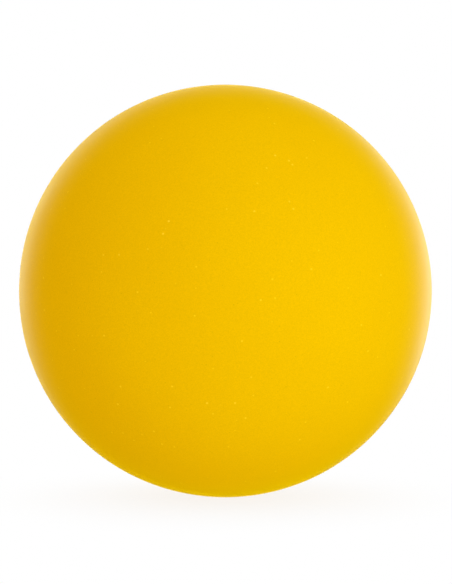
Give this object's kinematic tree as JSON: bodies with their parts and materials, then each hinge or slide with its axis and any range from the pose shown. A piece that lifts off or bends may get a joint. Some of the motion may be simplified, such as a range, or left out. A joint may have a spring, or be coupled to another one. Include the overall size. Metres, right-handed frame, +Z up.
{
  "type": "dodgeball",
  "caption": "Round, soft dodgeball of moulded foam under a seamless satin yellow skin, for throwing and catching games.",
  "frame": {"origin": "centre of the ball", "axes": "+Z up, +X to the right and +Y away from the viewer; the ball is alike all round and has no front of its own"},
  "size_m": [0.178, 0.178, 0.178],
  "materials": {
    "foam": "matte",
    "bond_coat": "matte",
    "skin": "satin"
  },
  "bodies": {
    "root": {"foam_core": "foam", "bond_coat": "bond_coat", "colour_skin": "skin"}
  },
  "joints": []
}
